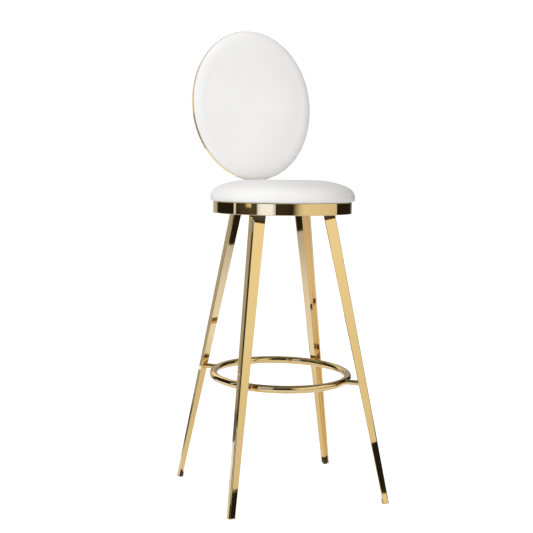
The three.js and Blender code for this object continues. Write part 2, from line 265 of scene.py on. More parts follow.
class Finish:
    """A material with a Principled shader, and short calls for the nodes that feed it."""

    def __init__(self, name, **fixed):
        self.material = bpy.data.materials.new(name)
        self.material.use_nodes = True
        self.tree = self.material.node_tree
        self.shader = self.tree.nodes["Principled BSDF"]
        self.place = self.add("TexCoord").outputs["Object"]
        for key, value in fixed.items():
            self.shader.inputs[key.replace("_", " ")].default_value = value

    def add(self, kind, links=None, **values):
        return add_node(self.tree, kind, links, **values)

    def feed(self, socket, source):
        self.tree.links.new(source, self.shader.inputs[socket])

    def at(self, stretch=(1, 1, 1)):
        return self.add("Mapping", {"Vector": self.place}, Scale=stretch).outputs["Vector"]

    def noise(self, scale, detail=3.0, rough=0.5, stretch=(1, 1, 1), warp=0.0):
        return self.add("TexNoise", {"Vector": self.at(stretch)}, Scale=scale, Detail=detail,
                        Roughness=rough, Distortion=warp).outputs["Fac"]

    def cells(self, scale, smooth=False):
        node = self.add("TexVoronoi", {"Vector": self.at()}, Scale=scale)
        if smooth:
            node.feature = "SMOOTH_F1"
            node.inputs["Smoothness"].default_value = 0.6
        return node.outputs["Distance"]

    def bands(self, scale, axis, warp=0.0, detail=1.0):
        node = self.add("TexWave", {"Vector": self.at()}, Scale=scale, Distortion=warp, Detail=detail)
        node.bands_direction = axis
        return node.outputs["Fac"]

    def attribute(self, name):
        node = self.add("Attribute")
        node.attribute_name = name
        return node.outputs["Fac"]

    def math(self, kind, a, b):
        node = self.add("Math")
        node.operation = kind
        for socket, value in zip(node.inputs, (a, b)):
            if isinstance(value, float):
                socket.default_value = value
            else:
                self.tree.links.new(value, socket)
        return node.outputs[0]

    def span(self, value, lo, hi, source=(0.3, 0.7)):
        return self.add("MapRange", {"Value": value}, From_Min=source[0], From_Max=source[1],
                        To_Min=lo, To_Max=hi).outputs["Result"]

    def tint(self, value, dark, light):
        node = self.add("ValToRGB", {"Fac": value})
        for stop, position, colour in zip(node.color_ramp.elements, (0.3, 0.7), (dark, light)):
            stop.position, stop.color = position, (*colour, 1)
        return node.outputs["Color"]

    def blend(self, factor, base, colour):
        node = self.add("Mix")
        node.data_type = "RGBA"
        socket = {s.identifier: s for s in node.inputs}
        self.tree.links.new(factor, socket["Factor_Float"])
        self.tree.links.new(base, socket["A_Color"])
        socket["B_Color"].default_value = (*colour, 1)
        return next(s for s in node.outputs if s.identifier == "Result_Color")

    def bump(self, height, distance, before=None):
        links = {"Height": height} if before is None else {"Height": height, "Normal": before}
        return self.add("Bump", links, Strength=1.0, Distance=distance).outputs["Normal"]


def gold_finish():
    f = Finish("gold_plated_steel", Metallic=1.0, Coat_Weight=0.5, Coat_Roughness=0.02, Coat_IOR=1.55)
    tone = f.tint(f.noise(4.5, 3), (0.79, 0.585, 0.265), (0.84, 0.635, 0.315))
    # paler on convex edges: partly rubbed wear, partly a painted highlight
    edge_wear_and_highlight = f.span(f.add("NewGeometry").outputs["Pointiness"], 0.0, 1.0, (0.53, 0.62))
    f.feed("Base Color", f.blend(f.math("MULTIPLY", edge_wear_and_highlight, 0.35), tone, (0.93, 0.80, 0.56)))
    haze = f.span(f.noise(11, 4, 0.6), 0.012, 0.035)
    marks = f.span(f.noise(95, 6, 0.62, warp=1.2), 0.0, 0.045, (0.54, 0.78))
    f.feed("Roughness", f.math("ADD", haze, marks))
    wave = f.bump(f.noise(9, 1), 0.06 * MM)
    scratch = f.bump(f.noise(1.0, 2, 0.5, stretch=(1500, 1500, 22)), 0.0012 * MM, wave)
    f.feed("Normal", f.bump(f.noise(650, 2), 0.0010 * MM, scratch))
    return f.material


def leather_finish():
    f = Finish("white_upholstery_leather", IOR=1.47, Sheen_Weight=0.04, Sheen_Roughness=0.4)
    tone = f.tint(f.noise(7, 3), (0.838, 0.834, 0.820), (0.872, 0.870, 0.860))
    grain = f.cells(760, smooth=True)
    pores = f.noise(1500, 3, 0.6)
    shaded = f.blend(f.span(grain, 0.0, 0.05, (0.25, 0.75)), tone, (0.66, 0.65, 0.62))
    # painted shade: darker and greyer where the leather tucks in at the hoop and the rim
    tuck_shade_mix = f.math("MULTIPLY", f.attribute("tuck_shade"), f.span(f.noise(60, 4), 0.25, 0.75))
    f.feed("Base Color", f.blend(tuck_shade_mix, shaded, (0.60, 0.58, 0.53)))
    f.feed("Roughness", f.span(f.math("ADD", f.noise(30, 4), f.math("MULTIPLY", grain, 0.3)), 0.43, 0.56))
    soft = f.bump(f.noise(26, 3), 0.25 * MM)
    pebble = f.bump(grain, -0.055 * MM, soft)
    f.feed("Normal", f.bump(pores, 0.012 * MM, pebble))
    return f.material


def plywood_finish():
    f = Finish("birch_plywood", IOR=1.45)
    grain = f.noise(1.0, 5, 0.6, stretch=(9, 170, 60), warp=0.6)
    rings = f.bands(16, "Y", warp=7.0, detail=3)
    wood = f.blend(f.span(rings, 0.0, 0.55), f.tint(grain, (0.44, 0.27, 0.12), (0.66, 0.47, 0.26)),
                   (0.50, 0.32, 0.15))
    plies = f.bands(210, "Z", detail=0.0)
    f.feed("Base Color", f.blend(f.span(plies, 0.0, 0.22), wood, (0.30, 0.18, 0.08)))
    f.feed("Roughness", f.span(grain, 0.55, 0.78))
    f.feed("Normal", f.bump(grain, 0.09 * MM))
    return f.material


def cover_finish():
    f = Finish("black_dust_cover_cloth", IOR=1.4, Sheen_Weight=0.25, Sheen_Roughness=0.6)
    warp, weft = f.bands(260, "X", 0.8), f.bands(260, "Y", 0.8)
    weave = f.math("MULTIPLY", warp, weft)
    tone = f.tint(f.noise(45, 4), (0.018, 0.018, 0.019), (0.040, 0.039, 0.038))
    f.feed("Base Color", f.blend(f.span(weave, 0.0, 0.5, (0.2, 0.9)), tone, (0.075, 0.073, 0.070)))
    f.feed("Roughness", f.span(weave, 0.95, 0.78, (0.0, 1.0)))
    f.feed("Normal", f.bump(weave, 0.12 * MM, f.bump(f.noise(180, 4), 0.10 * MM)))
    return f.material


def plastic_finish():
    f = Finish("black_moulded_plastic", IOR=1.5)
    f.feed("Base Color", f.tint(f.noise(120, 4), (0.020, 0.012, 0.009), (0.042, 0.028, 0.021)))
    f.feed("Roughness", f.span(f.noise(340, 4), 0.22, 0.40))
    f.feed("Normal", f.bump(f.cells(1500), 0.02 * MM))
    return f.material


def steel_finish():
    f = Finish("zinc_plated_steel", Metallic=1.0, Anisotropic=0.3)
    spot = f.noise(420, 5, 0.6)
    f.feed("Base Color", f.tint(spot, (0.42, 0.41, 0.39), (0.66, 0.65, 0.62)))
    f.feed("Roughness", f.span(spot, 0.24, 0.42))
    f.feed("Normal", f.bump(f.noise(1400, 3), 0.008 * MM))
    return f.material


def paint_finish():
    f = Finish("black_painted_steel", Metallic=0.0, IOR=1.5)
    f.feed("Base Color", f.tint(f.noise(60, 4), (0.014, 0.014, 0.015), (0.030, 0.030, 0.031)))
    f.feed("Roughness", f.span(f.noise(240, 4), 0.38, 0.55))
    f.feed("Normal", f.bump(f.noise(900, 3), 0.02 * MM))
    return f.material


# each with the name of its slot
GOLD = (gold_finish(), "gold_metal")
PAINT = (paint_finish(), "black_paint")
LEATHER = (leather_finish(), "white_leather")
PLYWOOD = plywood_finish()      # has none: the two boards are shown as the CAD has them
COVER = (cover_finish(), "dust_cover")
PLASTIC = (plastic_finish(), "black_plastic")
STEEL = (steel_finish(), "screw_steel")


# ------------------------------------------------------------------- metalwork

FLANGE_INNER_R = 98 * MM


def band_section(inner, outer, z0, z1, radius):
    return fillet([(inner, z0), (outer, z0), (outer, z1), (inner, z1)], radius, 6)


def build_hoop():
    section = band_section(HOOP_R - HOOP_WALL, HOOP_R, hoop_lo.z, hoop_hi.z, 1.35 * MM)
    piece("hoop_band", lathe(section, 288, AXIS[:2], closed=True), GOLD, ["seat_hoop"])

    lo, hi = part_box("seat_flange_ring")
    section = band_section(FLANGE_INNER_R, (hi.x - lo.x) / 2, lo.z, hi.z, 0.6 * MM)
    piece("hoop_flange", lathe(section, 240, AXIS[:2], closed=True), PAINT, ["seat_flange_ring"])

    # stitch welds between the flange and the hoop, seen from below
    for k in range(8):
        mid = math.radians(22.5 + 45 * k)
        arc = [round_axis(HOOP_R - HOOP_WALL - 0.6 * MM, mid + a, lo.z - 0.3 * MM)
               for a in np.linspace(-0.075, 0.075, 26)]
        piece(f"weld_flange_{k + 1}", tube(arc, 1.5 * MM, closed=False, ripple=0.10), PAINT)


class Leg:
    """A leg's outer corner and flange width at any height, read from its CAD node."""

    def __init__(self, corner):
        self.name = corner
        self.sx = 1 if corner.endswith("right") else -1
        self.sy = 1 if corner.startswith("back") else -1
        p = node_points(f"leg_{corner}")
        self.z0, self.z1 = p[:, 2].min(), p[:, 2].max()
        self.low = self.section(p[p[:, 2] < self.z0 + 0.01 * MM])
        self.top = self.section(p[p[:, 2] > self.z1 - 0.01 * MM])

    def section(self, p):
        x, y = (self.sx * p[:, 0]).max() * self.sx, (self.sy * p[:, 1]).max() * self.sy
        return np.array([x, y, np.ptp(p[:, 0])])

    def at(self, z):
        t = (z - self.z0) / (self.z1 - self.z0)
        return self.low + (self.top - self.low) * t

    def spot(self, z, u, v):
        """The point u and v in from the outer corner along the two flanges."""
        x, y, _ = self.at(z)
        return Vector((x - self.sx * u, y - self.sy * v, z))

    def outline(self, z, inset=0.0):
        """The angle section at this height, drawn in by inset on the outside."""
        i, w, t = inset, self.at(z)[2] - inset, LEG_WALL - inset
        bend, root, edge = 3.4 * MM - i, 1.2 * MM + i, 0.8 * MM - 0.7 * i
        points = fillet([(i, i), (w, i), (w, t), (t, t), (t, w), (i, w)],
                        [bend, edge, edge, root, edge, edge], 6)
        return [self.spot(z, u, v) for u, v in points]


LEGS = [Leg(corner) for corner in CORNERS]


def build_leg(leg):
    lo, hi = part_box(f"leg_plate_{leg.name}")
    edge, rings = 0.7 * MM, []
    for k in range(4, -1, -1):      # the rounded lower edge
        a = math.radians(22.5 * k)
        rings.append(leg.outline(leg.z0 + edge * (1 - math.sin(a)), edge * (1 - math.cos(a))))
    rings += [leg.outline(z) for z in np.linspace(leg.z0 + edge + HOLD, lo.z + 0.2 * MM, 15)]
    piece(f"angle_{leg.name}", loft(rings), GOLD, [f"leg_{leg.name}"])

    # head plate with rounded corners and edges
    rings = []
    for z, i in ((lo.z, 0.5 * MM), (lo.z + 0.15 * MM, 0.15 * MM), (lo.z + 0.5 * MM, 0),
                 (hi.z - 0.5 * MM, 0), (hi.z - 0.15 * MM, 0.15 * MM), (hi.z, 0.5 * MM)):
        x0, y0, x1, y1 = lo.x + i, lo.y + i, hi.x - i, hi.y - i
        flat = fillet([(x0, y0), (x1, y0), (x1, y1), (x0, y1)], 5 * MM - i, 6)
        rings.append([(x, y, z) for x, y in flat])
    piece(f"head_plate_{leg.name}", loft(rings), GOLD, [f"leg_plate_{leg.name}"], sharp=25)

    # fillet weld round the head of the angle
    bead, dense = leg.outline(lo.z - 0.2 * MM), []
    for a, b in zip(bead, bead[1:] + bead[:1]):
        count = max(1, int((b - a).length / (1.2 * MM)))
        dense.extend(a.lerp(b, k / count) for k in range(count))
    piece(f"weld_head_{leg.name}", tube(dense, 1.15 * MM, 8, ripple=0.12), GOLD)


def build_glide(leg):
    """A moulded plug in the inner corner of the foot, leaning with the leg."""
    node = f"glide_{leg.name}"
    lo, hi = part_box(node)
    top, lean = hi.z, leg.at(1.0) - leg.at(0.0)
    r = (hi.x - lo.x - abs(lean[0]) * top) / 2
    profile = [(0, 0.35 * MM), (r - 2.4 * MM, 0.35 * MM), (r - 2.0 * MM, 0)]
    profile += fillet([(r - 2.0 * MM, 0), (r, 0), (r, top), (1.6 * MM, top), (1.2 * MM, top - 0.8 * MM)],
                      [0, 0.5 * MM, 1.1 * MM, 0.3 * MM, 0], 6, closed=False)[1:]
    profile.append((0, top - 0.8 * MM))
    inset = r + LEG_WALL + 0.3 * MM
    low = leg.spot(0.0, inset, inset)
    rings = [turned(radius, z, 48, (low.x + lean[0] * z, low.y + lean[1] * z)) for radius, z in profile]
    piece(f"foot_glide_{leg.name}", loft(rings, caps=False), PLASTIC, [node])


SCREW_HEAD = 2.4 * MM


def screw_mesh():
    """A pan head screw with a cross recess: the head hangs below Z = 0, the shank stands above it."""
    r, shank, length = 4.6 * MM, 2.1 * MM, 12 * MM
    dome = [(0, 1), (0.32, 0.995), (0.58, 0.955), (0.78, 0.84), (0.91, 0.62), (0.98, 0.34), (1, 0.12),
            (0.985, 0.02), (0.94, 0)]       # shares of the head's radius and height
    profile = [(r * out, -SCREW_HEAD * down) for out, down in dome] + [(shank, 0)]
    for k in range(9):      # thread
        z = (1.0 + 1.1 * k) * MM
        profile += [(shank * 0.82, z), (shank, z + 0.4 * MM), (shank * 0.82, z + 0.8 * MM)]
    profile += [(shank * 0.6, length - 0.5 * MM), (0, length)]
    blank = add_object("screw_blank", make_mesh("screw_blank", *lathe(profile, 40)))
    cutters = []
    for turn in (0, math.pi / 2):
        rings = []
        for z, long, wide in ((-0.3 * MM, 2.75 * MM, 0.62 * MM), (1.5 * MM, 1.1 * MM, 0.34 * MM)):
            z -= SCREW_HEAD
            ring = [(-long, -wide, z), (long, -wide, z), (long, wide, z), (-long, wide, z)]
            rings.append([Matrix.Rotation(turn, 3, "Z") @ Vector(p) for p in ring])
        cutters.append(add_object(f"cutter_{len(cutters)}", make_mesh("cutter", *loft(rings))))
        cut = blank.modifiers.new("recess", "BOOLEAN")
        cut.operation, cut.solver, cut.object = "DIFFERENCE", "EXACT", cutters[-1]
    mesh = evaluated(blank)
    mesh.name = "pan_head_screw"
    mesh.set_sharp_from_angle(angle=math.radians(30))
    for obj in (blank, *cutters):
        bpy.data.objects.remove(obj)
    mesh.materials.clear()
    return mesh


class Back:
    """The oval back's own axes: X across, Y up the face, Z out of the front."""

    def __init__(self):
        p, mid, normal = plane_of("back_rim")
        normal *= -np.sign(normal[1])
        self.out = Vector(normal)
        self.up = self.out.cross(Vector((1, 0, 0))).normalized()
        self.axes = np.array([[1, 0, 0], self.up, self.out], float).T
        local = (p - mid) @ self.axes
        self.a, self.b = local[:, 0].max(), local[:, 1].max()
        self.depth = np.ptp(local[:, 2])
        self.origin = Vector(mid) + self.out * (self.depth / 2)
        self.place = Matrix.Translation(self.origin) @ Matrix(
            ((1, self.up.x, self.out.x), (0, self.up.y, self.out.y), (0, self.up.z, self.out.z))).to_4x4()

    def local(self, node):
        return (node_points(node) - np.array(self.origin)) @ self.axes

    def spot(self, x, y, z):
        return self.place @ Vector((x, y, z))

    def ring(self, inset, z, n, waist=0.0):
        """Points round the oval, inset from its edge; waist pulls the rings to a point at the middle."""
        a = self.a - inset
        b = self.b - inset - waist * (self.b - self.a)
        return [self.spot(a * math.cos(2 * math.pi * i / n), b * math.sin(2 * math.pi * i / n), z)
                for i in range(n)]


BACK = Back()


def build_rim():
    section = band_section(0, RIM_WALL, -BACK.depth, 0, 1.0 * MM)
    piece("back_band", loft([BACK.ring(i, z, 256) for i, z in section], closed=True), GOLD, ["back_rim"])


def rounded_bar(half_width, half_thick, radius, columns=9, steps=4):
    """Section of a flat bar: x across, t through; always the same number of points."""
    out = []
    for sx, st, start in ((1, -1, -90), (1, 1, 0), (-1, 1, 90), (-1, -1, 180)):
        cx, ct = sx * max(half_width - radius, 0.0), st * (half_thick - radius)
        for k in range(steps + 1):
            a = math.radians(start + 90 * k / steps)
            out.append((cx + radius * math.cos(a), ct + radius * math.sin(a)))
        if sx == st:        # along a wide side
            for k in range(1, columns + 1):
                x = cx + (-2 * cx) * k / (columns + 1)
                out.append((x, st * half_thick))
    return out


def build_strap():
    lo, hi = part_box("back_strap")
    half, thick, clear, edge, foot = (hi.x - lo.x) / 2, 5 * MM, 0.3 * MM, 1.2 * MM, 1.2 * MM
    bend_z, slope = 699 * MM, 0.78      # the foot bends back here, this far for each unit of rise
    front_y = AXIS.y + HOOP_R - 0.6 * MM
    rear = BACK.spot(0, 0, -BACK.depth - clear)
    top = BACK.spot(0, BACK.local("back_strap")[:, 1].max(), -BACK.depth - clear)
    lean = BACK.up.y / BACK.up.z
    meet_z = (rear.y - rear.z * lean - front_y + bend_z * slope) / (slope - lean)
    line = [(front_y, lo.z), (front_y, bend_z), (rear.y + (meet_z - rear.z) * lean, meet_z), (top.y, top.z)]

    # the middle of the bar's thickness runs behind the face that touches the hoop and the back
    middle = []
    for i, p in enumerate(line):
        runs = [(Vector(line[j + 1]) - Vector(line[j])).normalized() for j in (i - 1, i) if 0 <= j < 3]
        side = [Vector((d.y, -d.x)) for d in runs]
        n = sum(side, Vector((0, 0))).normalized()
        middle.append(tuple(Vector(p) + n * (thick / 2 / n.dot(side[0]))))
    corners = [Vector(p) for p in fillet(middle, [0, 14 * MM, 14 * MM, 0], 10, closed=False, hold=1 * MM)]
    path = corners[:1]
    for a, b in zip(corners, corners[1:]):
        count = max(1, math.ceil((b - a).length / (8 * MM)))
        path.extend(a.lerp(b, k / count) for k in range(1, count + 1))
    lengths = np.concatenate([[0], np.cumsum([(b - a).length for a, b in zip(path, path[1:])])])
    total = lengths[-1]
    track = np.array([p[:] for p in path])

    def along(s):
        return np.array([np.interp(s, lengths, track[:, k]) for k in (0, 1)])

    stops = [0.0, 0.5 * MM, foot] + [s for s in lengths if 1.5 * MM < s < total - half - 1 * MM]
    stops += [total - half * (1 - math.cos(math.radians(a))) for a in range(90, 8, -6)]
    stops.append(total - 0.12 * MM)
    reach = HOOP_R + 0.05 * MM
    rings = []
    for s in stops:
        y, z = along(s)
        d = Vector(along(s + 0.5 * MM) - along(s - 0.5 * MM)).normalized()
        left = max(total - s, 0)        # the upper end is round
        width = half if left >= half else math.sqrt(max(half ** 2 - (half - left) ** 2, 0))
        thin = 0.7 * MM * (1 - s / foot) ** 1.5 if s < foot else 0.0
        ring = []
        for x, t in rounded_bar(max(width - thin, edge * 1.02), thick / 2 - thin,
                                edge * (1 - thin / (1 * MM) * 0.6)):
            p = Vector((AXIS.x + x, y + d.y * t, z - d.x * t))
            flat = Vector((p.x - AXIS.x, p.y - AXIS.y))
            if p.z < hoop_hi.z + 1 * MM and flat.length < reach:
                p.y = AXIS.y + math.sqrt(reach ** 2 - flat.x ** 2)
            ring.append(p)
        rings.append(ring)
    piece("support_strap", loft(rings), GOLD, ["back_strap"])

    # welds down both sides of the foot
    for side, word in ((-1, "left"), (1, "right")):
        x = side * (half + clear)
        y = AXIS.y + math.sqrt(HOOP_R ** 2 - x ** 2) + clear
        bead = [(AXIS.x + x, y, z) for z in np.linspace(lo.z + 0.5 * MM, bend_z + 2 * MM, 18)]
        piece(f"weld_strap_{word}", tube(bead, 1.4 * MM, closed=False, ripple=0.10), GOLD)


def build_rest():
    """The footrest ring in its own plane, its four stubs, and the welds at both ends of each."""
    _, mid, normal = plane_of("footrest_ring")
    normal = Vector(normal)
    normal *= math.copysign(1, normal.z)
    lo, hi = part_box("footrest_ring")
    tube_r, rod_r = 9.2 * MM, 6.2 * MM
    ring_r = (hi.x - lo.x) / 2 - tube_r
    centre, across = Vector(mid), Vector((1, 0, 0))
    along = normal.cross(across).normalized()

    def on_ring(a, around=0.0, r=0.0):
        out = across * math.cos(a) + along * math.sin(a)
        return centre + out * (ring_r + r * math.cos(around)) + normal * (r * math.sin(around))

    sides, n = 32, 288
    rings = [[on_ring(2 * math.pi * i / n, 2 * math.pi * k / sides, tube_r) for k in range(sides)]
             for i in range(n)]
    piece("rest_ring", loft(rings, closed=True), GOLD, ["footrest_ring"])

    for leg in LEGS:
        node = f"footrest_stub_{leg.name}"
        lo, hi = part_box(node)
        z = (lo.z + hi.z) / 2
        tip = Vector((*(leg.at(z)[:2] - np.array([leg.sx, leg.sy]) * 2 * MM), z))
        start = on_ring(math.atan2(tip.y - centre.y, tip.x - centre.x))
        start.z = z
        d = (tip - start).normalized()
        flat = Vector((-d.y, d.x, 0)).normalized()
        lift = d.cross(flat)
        near, far = [], []
        for k in range(48):
            a = 2 * math.pi * k / 48
            off = flat * (rod_r * math.cos(a)) + lift * (rod_r * math.sin(a))
            height = (off - d * off.dot(d)).dot(normal)
            skirt = math.sqrt(max(tube_r ** 2 - height ** 2, 0)) - (rod_r * math.cos(a)) ** 2 / (2 * ring_r)
            near.append(start + off + d * skirt)
            # the rod ends on the inner faces of the angle
            reach = []
            for axis, sign in ((0, leg.sx), (1, leg.sy)):
                low, high = 0.0, 0.2
                for _ in range(40):
                    s = (low + high) / 2
                    q = start + off + d * s
                    gap = sign * (leg.at(q.z)[axis] - q[axis]) - LEG_WALL
                    low, high = (s, high) if gap > 0 else (low, s)
                reach.append(low)
            far.append(start + off + d * min(reach))
        rows = [[q - d * 1.5 * MM for q in near], near]
        rows += [[a.lerp(b, t) for a, b in zip(near, far)] for t in (0.04, 0.25, 0.5, 0.75, 0.96)]
        rows += [far, [q + d * 0.8 * MM for q in far]]
        piece(f"rest_stub_{leg.name}", loft(rows), GOLD, [node], sharp=60)
        for end, loop, shift in (("ring", near, 0.35 * MM), ("leg", far, -0.35 * MM)):
            bead = tube([q + d * shift for q in loop], 1.15 * MM, ripple=0.10)
            piece(f"weld_rest_{leg.name}_{end}", bead, GOLD)


# ------------------------------------------------------------------ upholstery

VOXEL = 5 * MM          # size of the cloth's mesh
PRESSURE = 4.0
FRAMES = 20
MOST_MOVE = 2.0 * MM    # that the simulation may move a point of the cushion
SMOOTHING = 24          # passes that even out what the cloth leaves between neighbouring points


def simulate(name, skin, pin):
    """Inflates a copy of a closed shape as cloth and gives its surface; pin says which points are held."""
    obj = add_object(name, make_mesh(name, *skin))
    remesh = obj.modifiers.new("voxels", "REMESH")
    remesh.mode, remesh.voxel_size = "VOXEL", VOXEL
    even = evaluated(obj)
    obj.modifiers.clear()
    obj.data = even
    held = obj.vertex_groups.new(name="held")
    held.add([v.index for v in even.vertices if pin(v.co)], 1.0, "REPLACE")
    cloth = obj.modifiers.new("cloth", "CLOTH")
    s = cloth.settings
    s.quality = 6
    s.mass = 0.35
    s.tension_stiffness = s.compression_stiffness = 22
    s.shear_stiffness = 12
    s.bending_stiffness = 2.0
    s.use_pressure = True
    s.uniform_pressure_force = PRESSURE
    s.vertex_group_mass = "held"
    s.effector_weights.gravity = 0
    cloth.point_cache.frame_start, cloth.point_cache.frame_end = 1, FRAMES
    scene = bpy.context.scene
    for f in range(1, FRAMES + 1):
        scene.frame_set(f)
    done = evaluated(obj)
    scene.frame_set(1)
    tree = BVHTree.FromPolygons([v.co for v in done.vertices], [tuple(p.vertices) for p in done.polygons])
    bpy.data.objects.remove(obj)
    return tree


def relax_towards(mesh, tree, free):
    """Moves each point along its normal towards the simulated surface, by the share that free gives."""
    moves = []
    for v in mesh.vertices:
        share = free(v.co)
        hit = tree.find_nearest(v.co, 0.02)[0] if share > 0 else None
        gap = 0.0 if hit is None else (hit - v.co).dot(v.normal)
        moves.append(share * MOST_MOVE * math.tanh(gap / MOST_MOVE))
    moves = np.array(moves)
    pairs = np.array([e.vertices[:] for e in mesh.edges])
    count = np.bincount(pairs.ravel(), minlength=len(moves))
    for _ in range(SMOOTHING):
        total = np.bincount(pairs[:, 0], moves[pairs[:, 1]], len(moves))
        total += np.bincount(pairs[:, 1], moves[pairs[:, 0]], len(moves))
        moves = (moves + total) / (1 + count)
    normals = [v.normal.copy() for v in mesh.vertices]
    for v, n, move in zip(mesh.vertices, normals, moves):
        v.co += n * float(move)


# stores at each point its share of the painted shade where the leather tucks in
def mark_tuck_shade(mesh, value):
    attribute = mesh.attributes.new("tuck_shade", "FLOAT", "POINT")
    attribute.data.foreach_set("value", [value(v.co) for v in mesh.vertices])


def pucker(angle, waves, seed):
    """Uneven gathers round an edge, from 0 to 1."""
    spot = Vector((math.cos(angle) * waves / 6, math.sin(angle) * waves / 6, seed))
    fold = 0.5 + 0.5 * math.sin(angle * waves + 2.5 * noise.noise(spot * 0.6))
    return fold * max(0.0, 0.35 + 0.9 * noise.noise(spot * 0.45 + Vector((7, 3, 1))))


def build_seat():
    p = node_points("seat_pad") - np.array(AXIS)
    pairs = sorted({(round(float(z), 5), round(float(math.hypot(x, y)), 5)) for x, y, z in p})
    rows = [(r, z) for z, r in pairs]
    floor_z, top_z = rows[0][1], rows[-1][1]
    lip = next(i for i, (r, z) in enumerate(rows) if z > floor_z + 1 * MM)
    plug_r, lip_z = rows[lip]
    curve = through([(plug_r + 0.4 * MM, lip_z)] + rows[lip + 1:], 64)
    profile = [(0, floor_z), (plug_r * 0.5, floor_z), (plug_r - 1 * MM, floor_z), (plug_r, floor_z + 1 * MM),
               (plug_r, lip_z - 1.5 * MM), (plug_r, lip_z - 0.5 * MM)] + curve[:-1] + [(0, curve[-1][1])]
    mesh = make_mesh("seat_cushion", *lathe(profile, 256, AXIS[:2]), 180)

    start = [(max(r - 1.6 * MM, 0) if z > lip_z else r, z - 2.2 * MM * smoothstep((z - lip_z) / 0.03))
             for r, z in profile]
    tree = simulate("seat_blank", lathe(start, 96, AXIS[:2]), lambda c: c.z < lip_z + 1.5 * MM)
    relax_towards(mesh, tree, lambda c: smoothstep((c.z - lip_z - 4 * MM) / 0.02))

    for v in mesh.vertices:
        x, y = v.co.x - AXIS.x, v.co.y - AXIS.y
        r, a = math.hypot(x, y), math.atan2(y, x)
        above = (v.co.z - lip_z) / MM
        if r > plug_r + 0.6 * MM and above > -0.2:      # gathers over the hoop
            depth = 0.75 * MM * pucker(a, 84, 0.0) * math.exp(-((above - 1.5) / 5.5) ** 2)
            v.co.x -= depth * x / r
            v.co.y -= depth * y / r
        if above > 8:                                   # uneven filling
            v.co.z += 0.35 * MM * noise.noise(Vector((x, y, 0.3)) * 22) * smoothstep((above - 8) / 20)
        v.co.z = min(v.co.z, top_z + 0.4 * MM)
    # painted shade in the tuck at the hoop, fading a few millimetres up the side
    mark_tuck_shade(mesh, lambda c: math.exp(-max(c.z - lip_z, 0) / (2.6 * MM)))
    mesh.update()
    cushion = piece("seat_cushion", mesh, LEATHER, ["seat_pad"])


SHOULDER_W, SHOULDER_H = 24 * MM, 17 * MM


def build_back_pad():
    local = BACK.local("back_pad")
    side = local[(np.abs(local[:, 1]) < 0.02 * MM) & (local[:, 0] > 3 * MM)]
    pairs = sorted({(round(float(z), 5), round(float(BACK.a - x), 5)) for x, _, z in side})
    rows = [(inset, z) for z, inset in pairs]
    base_z, crown_z = rows[0][1], rows[-1][1]
    base_inset = max(inset for inset, z in rows if z < base_z + 0.1 * MM)
    # where the cushion comes out over the rim
    edge_inset, under_z = next((inset, z) for inset, z in rows
                               if z > 1 * MM or z > 0.1 * MM and inset < base_inset - 0.5 * MM)

    def swell(inset):
        """A round shoulder, then a long low dome to the middle."""
        u = min((inset - edge_inset) / SHOULDER_W, 1)
        v = (inset - edge_inset) / (BACK.a - edge_inset)
        return (under_z + (SHOULDER_H - under_z) * math.sqrt(1 - (1 - u) ** 2)
                + (crown_z - SHOULDER_H) * (1 - (1 - v) ** 2))

    insets = [edge_inset + SHOULDER_W * (1 - math.cos(math.pi / 2 * k / 24)) for k in range(25)]
    insets += [insets[-1] + (BACK.a - 1 * MM - insets[-1]) * k / 35 for k in range(1, 36)]
    hub = (BACK.a * 0.6, base_z)
    section = [(base_inset + 20 * MM, base_z), (base_inset + 1 * MM, base_z), (base_inset, base_z + 0.6 * MM),
               (base_inset, under_z - 0.2 * MM), (base_inset - 0.2 * MM, under_z),
               ((base_inset + edge_inset) / 2, under_z)] + [(inset, swell(inset)) for inset in insets]

    def skin(outline, n, slack=0.0):
        """The closed shape over inset and height pairs; slack draws its front in, for inflating."""
        rings = [[BACK.spot(0, 0, base_z)]]
        for inset, z in outline:
            lift = slack * smoothstep((z - base_z) / 0.02)
            rings.append(BACK.ring(inset + 1.2 * MM * lift, z - 1.6 * MM * lift, n,
                                   smoothstep(inset / BACK.a)))
        return loft(rings + [[BACK.spot(0, 0, crown_z - 1.6 * MM * slack)]], caps=False)

    mesh = make_mesh("back_cushion", *skin([hub] + section, 224), 180)
    to_local = BACK.place.inverted()

    blank = skin([hub] + section[::3] + section[-1:], 96, 1.0)
    tree = simulate("back_blank", blank, lambda c: (to_local @ c).z < 2.0 * MM)
    relax_towards(mesh, tree, lambda c: smoothstep(((to_local @ c).z - 4 * MM) / 0.012))

    for v in mesh.vertices:
        q = to_local @ v.co
        a = math.atan2(q.y / BACK.b, q.x / BACK.a)
        near = math.exp(-(max(q.z, 0) / (3.5 * MM)) ** 2)
        out = Vector((q.x, q.y, 0))
        if q.z > -1.5 * MM and out.length > 0.1:        # gathers behind the rim
            q -= out.normalized() * (0.55 * MM * pucker(a, 96, 4.0) * near)
        if q.z > 6 * MM:                                # uneven filling
            q.z += 0.45 * MM * noise.noise(Vector((q.x, q.y, 1.7)) * 18) * smoothstep((q.z - 6 * MM) / 0.02)
        v.co = BACK.place @ q
    # painted shade in the tuck behind the rim
    mark_tuck_shade(mesh, lambda c: math.exp(-max((to_local @ c).z, 0) / (1.8 * MM)))
    mesh.update()
    cushion = piece("back_cushion", mesh, LEATHER, ["back_pad"])


